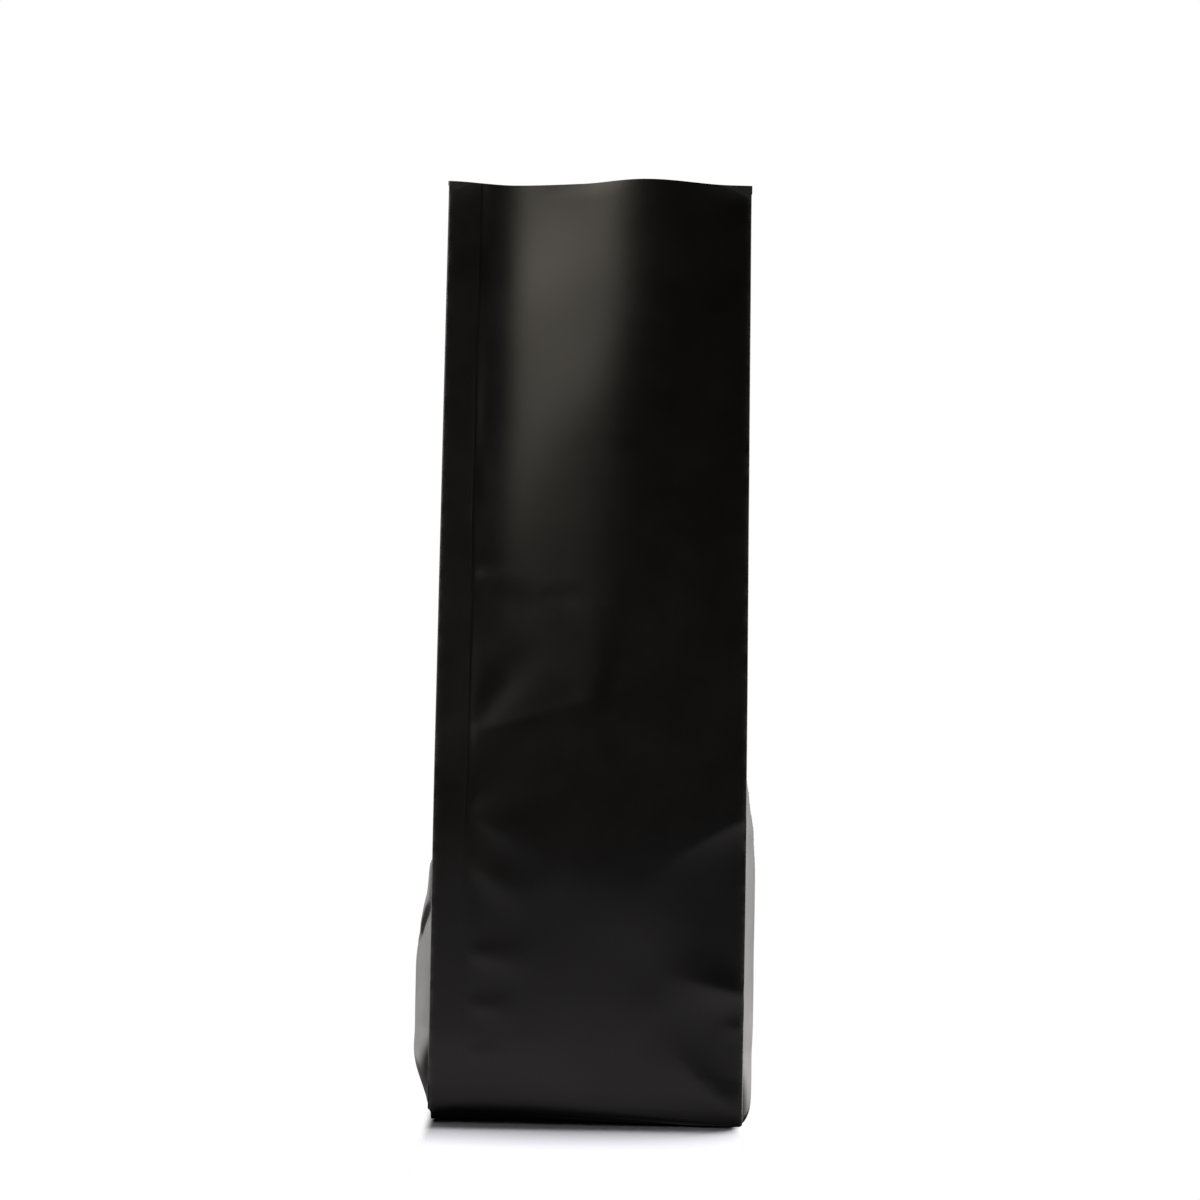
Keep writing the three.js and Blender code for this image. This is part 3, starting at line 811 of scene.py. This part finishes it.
def film_material():
    material = bpy.data.materials.new("film_black")
    nodes = Nodes(material)
    where = nodes.add("ShaderNodeTexCoord").outputs["Object"]
    seal = nodes.add("ShaderNodeAttribute", attribute_name="lap_seal").outputs["Fac"]
    crease = nodes.add("ShaderNodeAttribute", attribute_name="crease").outputs["Fac"]

    cloud = nodes.spread(nodes.noise(where, FILM_CLOUD_SCALE, SOFT_DETAIL), 0.0, 1.0)
    body = nodes.mix_colours(cloud, FILM_BLACK, FILM_BLACK_LIGHT)
    rubbed = nodes.spread(nodes.noise(where, FILM_RUB_SCALE, FINE_DETAIL), 0.0, 1.0)
    # Mixes the film towards light grey along the creases: partly wear, partly a painted highlight
    worn_and_highlit = nodes.math("MULTIPLY", nodes.math("MULTIPLY", crease, rubbed), FILM_SCUFF_AND_HIGHLIGHT_SHARE)
    colour = nodes.mix_colours(worn_and_highlit, body, FILM_SCUFF_AND_HIGHLIGHT)

    gloss = nodes.noise(where, FILM_GLOSS_SCALE, FINE_DETAIL, FILM_GLOSS_UNEVENNESS)
    rough = nodes.spread(gloss, *FILM_ROUGHNESS)

    fine = nodes.add("ShaderNodeBump", {**GRAIN_BUMP, "Height": nodes.noise(where, GRAIN_SCALE)})
    ribs = nodes.math("MULTIPLY", knurl(nodes, where), seal)
    pressed = nodes.add("ShaderNodeBump", {**KNURL_BUMP, "Height": ribs, "Normal": fine.outputs["Normal"]})

    shader = nodes.add("ShaderNodeBsdfPrincipled", {
        "Base Color": colour, "Roughness": rough, "IOR": FILM_IOR, "Specular IOR Level": FILM_SPECULAR,
        "Normal": pressed.outputs["Normal"]})
    nodes.add("ShaderNodeOutputMaterial", {"Surface": shader.outputs["BSDF"]})
    return material


def clouded_material(look):
    material = bpy.data.materials.new(look.name)
    nodes = Nodes(material)
    where = nodes.add("ShaderNodeTexCoord").outputs["Object"]
    cloud = nodes.spread(nodes.noise(where, look.cloud_scale, SOFT_DETAIL), 0.0, 1.0)
    colour = nodes.mix_colours(cloud, look.dark, look.light)
    rough = nodes.spread(nodes.noise(where, look.gloss_scale, look.gloss_detail), *look.roughness)
    inputs = {"Base Color": colour, "Roughness": rough, "IOR": FILM_IOR}
    shader = nodes.add("ShaderNodeBsdfPrincipled", inputs)
    nodes.add("ShaderNodeOutputMaterial", {"Surface": shader.outputs["BSDF"]})
    return material


# Pieces


def set_marks(item, marks):
    for name, values in marks.items():
        item.data.attributes.new(name, "FLOAT", "POINT").data.foreach_set("value", values)


def put_in_frame(item):
    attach(item, "root")
    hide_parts("bag")


def make_film(outside):
    points, faces, finish, marks = film_mesh()
    film = new_object("film_bag", points, faces)
    for material in (outside, clouded_material(FILM_INSIDE), clouded_material(FILM_CUT_EDGE)):
        film.data.materials.append(material)
    film.data.polygons.foreach_set("material_index", finish)
    set_marks(film, marks)
    put_in_frame(film)
    return film


def make_bottom_seal(outside):
    points, faces = bottom_seal_mesh()
    seal = new_object("bottom_seal", points, faces)
    seal.data.materials.append(outside)
    seal.data.polygons.foreach_set("use_smooth", np.zeros(len(seal.data.polygons), bool))
    set_marks(seal, {"lap_seal": np.ones(len(points)), "crease": np.zeros(len(points))})
    put_in_frame(seal)


# Studio

# The floor under the bag, in metres: a disc that shows in a strip as wide as the bag and fades out towards
# its rim
FLOOR_RADIUS = 0.5
FLOOR_FADE = 0.42
FLOOR_HALF_WIDTH = 0.048
FLOOR_SIDE_FADE = 0.0035
FLOOR_CORNERS = 96
FLOOR_WHITE = (0.86, 0.86, 0.91, 1.0)


def floor_material():
    material = bpy.data.materials.new("studio_floor")
    nodes = Nodes(material)
    where = nodes.add("ShaderNodeTexCoord").outputs["Object"]
    length = nodes.add("ShaderNodeVectorMath", {0: where}, operation="LENGTH").outputs["Value"]
    far = nodes.map_range(length, Span(FLOOR_RADIUS - FLOOR_FADE, FLOOR_RADIUS, 0.0, 1.0))
    apart = nodes.add("ShaderNodeSeparateXYZ", {"Vector": where})
    aside = nodes.math("ABSOLUTE", apart.outputs["X"])
    edge = Span(FLOOR_HALF_WIDTH - FLOOR_SIDE_FADE, FLOOR_HALF_WIDTH, 0.0, 1.0)
    gone = nodes.math("MAXIMUM", far, nodes.map_range(aside, edge, "SMOOTHSTEP"))
    white = nodes.add("ShaderNodeBsdfDiffuse", {"Color": FLOOR_WHITE})
    clear = nodes.add("ShaderNodeBsdfTransparent")
    both = nodes.add("ShaderNodeMixShader", {0: gone, 1: white.outputs[0], 2: clear.outputs[0]})
    nodes.add("ShaderNodeOutputMaterial", {"Surface": both.outputs[0]})
    return material


def make_floor():
    turn = np.arange(FLOOR_CORNERS) * 2.0 * np.pi / FLOOR_CORNERS
    points = np.stack((np.cos(turn), np.sin(turn), 0.0 * turn), axis=-1) * FLOOR_RADIUS
    mesh = bpy.data.meshes.new("floor")
    mesh.from_pydata(points.tolist(), [], [list(range(FLOOR_CORNERS))])
    floor = bpy.data.objects.new("floor", mesh)
    bpy.context.scene.collection.objects.link(floor)
    mesh.materials.append(floor_material())
    floor.visible_glossy = False
    return floor


# The brightness of the studio, by direction: it comes up behind the bag and falls again straight behind it,
# is a little more to the right, and goes out below the table's edge
STUDIO_RISE = Span(0.15, 0.8, 0.004, 1.0)
STUDIO_FALL = Span(0.5, 1.0, 5.0, 0.35)
STUDIO_TO_RIGHT = Span(-0.6, 0.6, 0.85, 1.2)
STUDIO_TABLE_EDGE = Span(-0.17, -0.12, 0.001, 1.0)
STUDIO_COLOUR = (1.0, 0.97, 0.94, 1.0)
WHITE = (1.0, 1.0, 1.0, 1.0)


def make_world():
    """White to look at, and as light a studio that is bright behind the bag and dark in front of it."""
    world = bpy.data.worlds.new("studio")
    bpy.context.scene.world = world
    world.cycles_visibility.diffuse = False
    nodes = Nodes(world)
    seen = nodes.add("ShaderNodeLightPath").outputs["Is Camera Ray"]
    direction = nodes.add("ShaderNodeTexCoord").outputs["Generated"]
    apart = nodes.add("ShaderNodeSeparateXYZ", {"Vector": direction})
    brightness = nodes.map_range(apart.outputs["Y"], STUDIO_RISE, "SMOOTHSTEP")
    for factor in (
        nodes.map_range(apart.outputs["Y"], STUDIO_FALL),
        nodes.map_range(apart.outputs["X"], STUDIO_TO_RIGHT),
        nodes.map_range(apart.outputs["Z"], STUDIO_TABLE_EDGE, "SMOOTHSTEP"),
    ):
        brightness = nodes.math("MULTIPLY", brightness, factor)
    light = nodes.add("ShaderNodeBackground", {"Color": STUDIO_COLOUR, "Strength": brightness})
    white = nodes.add("ShaderNodeBackground", {"Color": WHITE, "Strength": 1.0})
    both = nodes.add("ShaderNodeMixShader", {0: seen, 1: light.outputs[0], 2: white.outputs[0]})
    nodes.add("ShaderNodeOutputWorld", {"Surface": both.outputs[0]})


def aim(item, place, target):
    item.location = place
    direction = mathutils.Vector(target) - mathutils.Vector(place)
    item.rotation_euler = direction.to_track_quat("-Z", "Y").to_euler()


def light_only(light, receiver):
    """Lets a light fall on one thing alone; what stands in its way still casts a shadow."""
    group = bpy.data.collections.new(light.name + "_receivers")
    group.objects.link(receiver)
    light.light_linking.receiver_collection = group


# The lamps: watts, metres and degrees. The softbox and the rim light stand at a distance from the bag's
# axis, turned to the right and raised from a height on it.
LAMP_AWAY = 1.3
SOFTBOX_POWER = 12.9
SOFTBOX_SIZE = (0.7, 0.7)
SOFTBOX_COLOUR = (1.0, 0.93, 0.80)
SOFTBOX_TURN = -38.0
SOFTBOX_RAISED = 34.0
SOFTBOX_FROM = 0.15
SOFTBOX_AIM = 0.18
TOP_LIGHT_STRENGTH = 0.5
TOP_LIGHT_ANGLE = 70.0
TOP_LIGHT_PLACE = (-0.1, 0.5, 1.5)
FLOOR_LIGHT_POWER = 31.0
FLOOR_LIGHT_SIZE = (0.26, 0.26)
FLOOR_LIGHT_PLACE = (0.12, 0.23, 1.6)
RIM_LIGHT_POWER = 0.5
RIM_LIGHT_SIZE = (0.5, 0.4)
RIM_LIGHT_TURN = 18.0
RIM_LIGHT_RAISED = 52.0
RIM_LIGHT_AIM = 0.28
ON_FLOOR = (0.0, 0.0, 0.0)

# The table gives light back to the bag, less from the shade at and under its foot and from far away: strips
# across it in front, with the distances in metres from the bag's middle to their near and far edges, and
# one patch at each side
TableStrip = namedtuple("TableStrip", "near far brightness")
TABLE_STRIPS = (
    TableStrip(0.022, 0.0265, 0.002),
    TableStrip(0.0265, 0.0295, 0.012),
    TableStrip(0.0295, 0.0325, 0.06),
    TableStrip(0.0325, 0.036, 0.18),
    TableStrip(0.036, 0.042, 0.3),
    TableStrip(0.042, 0.052, 0.5),
    TableStrip(0.052, 0.070, 0.84),
    TableStrip(0.070, 0.14, 1.0),
    TableStrip(0.14, 0.26, 0.85),
    TableStrip(0.26, 0.5, 0.65),
    TableStrip(0.5, 0.9, 0.44),
    TableStrip(0.9, 1.5, 0.25),
)
TABLE_WIDTH = 1.0
TABLE_LIGHT_HEIGHT = 0.0004
SIDE_TABLE_REACH = (0.062, 0.6)
SIDE_TABLE_DEPTH = (-0.03, 0.3)
LEFT_TABLE_BRIGHTNESS = 0.2
RIGHT_TABLE_BRIGHTNESS = 0.45
TABLE_COLOUR = (1.0, 0.94, 0.97)


def make_area_light(name, place, target, size, power, receiver, colour=WHITE[:3]):
    data = bpy.data.lights.new(name, "AREA")
    data.shape = "RECTANGLE"
    data.size, data.size_y = size
    data.energy = power
    data.color = colour
    lamp = bpy.data.objects.new(name, data)
    bpy.context.scene.collection.objects.link(lamp)
    aim(lamp, place, target)
    lamp.visible_camera = False
    light_only(lamp, receiver)


def lamp_place(turn, raised, height):
    """A place round the bag's axis, for a lamp."""
    turn = math.radians(turn)
    raised = math.radians(raised)
    out = LAMP_AWAY * math.cos(raised)
    return out * math.sin(turn), -out * math.cos(turn), height + LAMP_AWAY * math.sin(raised)


def make_top_light():
    data = bpy.data.lights.new("top_light", "SUN")
    data.energy = TOP_LIGHT_STRENGTH
    data.angle = math.radians(TOP_LIGHT_ANGLE)
    lamp = bpy.data.objects.new("top_light", data)
    bpy.context.scene.collection.objects.link(lamp)
    aim(lamp, TOP_LIGHT_PLACE, ON_FLOOR)


def make_table_light(x, y, size, brightness, film):
    place = (x, y, TABLE_LIGHT_HEIGHT)
    power = math.pi * brightness * size[0] * size[1]
    make_area_light("table_light", place, (x, y, 1.0), size, power, film, TABLE_COLOUR)


def make_table_lights(film):
    for strip in TABLE_STRIPS:
        size = (TABLE_WIDTH, strip.far - strip.near)
        make_table_light(0.0, -(strip.near + strip.far) / 2, size, strip.brightness, film)
    near, far = SIDE_TABLE_REACH
    front, back = SIDE_TABLE_DEPTH
    for side, brightness in ((LEFT, LEFT_TABLE_BRIGHTNESS), (RIGHT, RIGHT_TABLE_BRIGHTNESS)):
        x = side.sign * (near + far) / 2
        make_table_light(x, (front + back) / 2, (far - near, back - front), brightness, film)


def make_lights(film, floor):
    place = lamp_place(SOFTBOX_TURN, SOFTBOX_RAISED, SOFTBOX_FROM)
    target = (0.0, 0.0, SOFTBOX_AIM)
    make_area_light("softbox", place, target, SOFTBOX_SIZE, SOFTBOX_POWER, film, SOFTBOX_COLOUR)
    make_top_light()
    make_area_light("floor_light", FLOOR_LIGHT_PLACE, ON_FLOOR, FLOOR_LIGHT_SIZE, FLOOR_LIGHT_POWER, floor)
    place = lamp_place(RIM_LIGHT_TURN, RIM_LIGHT_RAISED, RIM_LIGHT_AIM)
    make_area_light("rim_light", place, (0.0, 0.0, RIM_LIGHT_AIM), RIM_LIGHT_SIZE, RIM_LIGHT_POWER, film)
    make_table_lights(film)


# The camera stands level in front of the bag, in millimetres from the panel's foot, over the floor and to
# the right of the bag's middle, and is rolled by some degrees. Its lens follows from the photograph's size
# and scale.
CAMERA_AWAY = 1095.0
CAMERA_HEIGHT = 158.0
CAMERA_ASIDE = 2.0
CAMERA_ROLL = -0.95
PHOTO_SIZE = 1200.0
PIXELS_PER_MM_AT_FRONT = 3.326
SENSOR = 36.0


def make_camera():
    data = bpy.data.cameras.new("camera")
    data.sensor_width = SENSOR
    data.lens = PIXELS_PER_MM_AT_FRONT * CAMERA_AWAY / PHOTO_SIZE * SENSOR
    camera = bpy.data.objects.new("camera", data)
    bpy.context.scene.collection.objects.link(camera)
    front = FULL_HALF_DEPTH + CAMERA_AWAY
    camera.location = ((CENTRE_SHIFT + CAMERA_ASIDE) * MM, -front * MM, CAMERA_HEIGHT * MM)
    camera.rotation_euler = (math.pi / 2, math.radians(CAMERA_ROLL), 0.0)
    bpy.context.scene.camera = camera


film_outside = film_material()
film_bag = make_film(film_outside)
make_bottom_seal(film_outside)
studio_floor = make_floor()
make_world()
make_lights(film_bag, studio_floor)
make_camera()
bpy.context.scene.view_settings.view_transform = "Standard"
